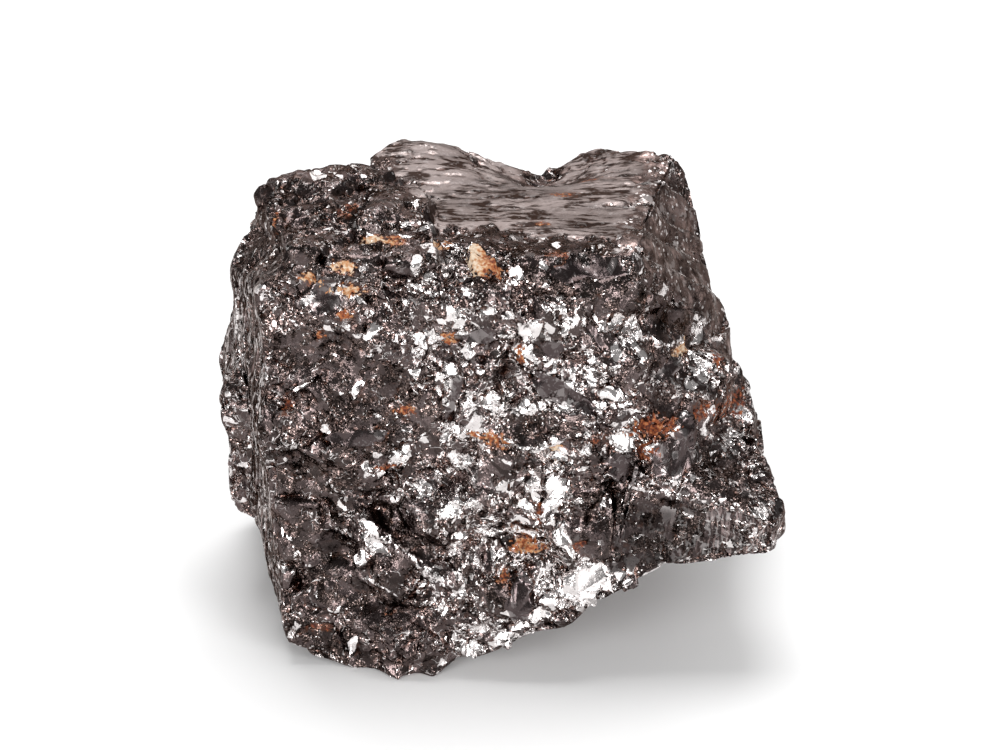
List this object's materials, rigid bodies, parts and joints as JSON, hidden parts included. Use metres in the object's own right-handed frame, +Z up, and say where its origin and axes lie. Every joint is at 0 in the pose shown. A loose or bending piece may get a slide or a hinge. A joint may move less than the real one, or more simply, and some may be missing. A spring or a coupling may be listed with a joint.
{
  "type": "rough shungite stone",
  "caption": "Rough natural block of glassy black shungite with a flat satin top, a hackly sparkling front and an undercut side; it stands on a flat facet as a specimen or paperweight.",
  "frame": {"origin": "centre of the bounding box in X and Y, at the ground under the resting facet", "axes": "+Z up, +X along the widest side of the stone, -Y out of the hackly front"},
  "size_m": [0.0498, 0.0398, 0.0386],
  "materials": {
    "glassy_black_stone": "glassy to satin black natural fracture with bright facets and small rust and ochre crusts"
  },
  "bodies": {
    "root": {"shungite_stone": "glassy_black_stone"}
  },
  "joints": []
}
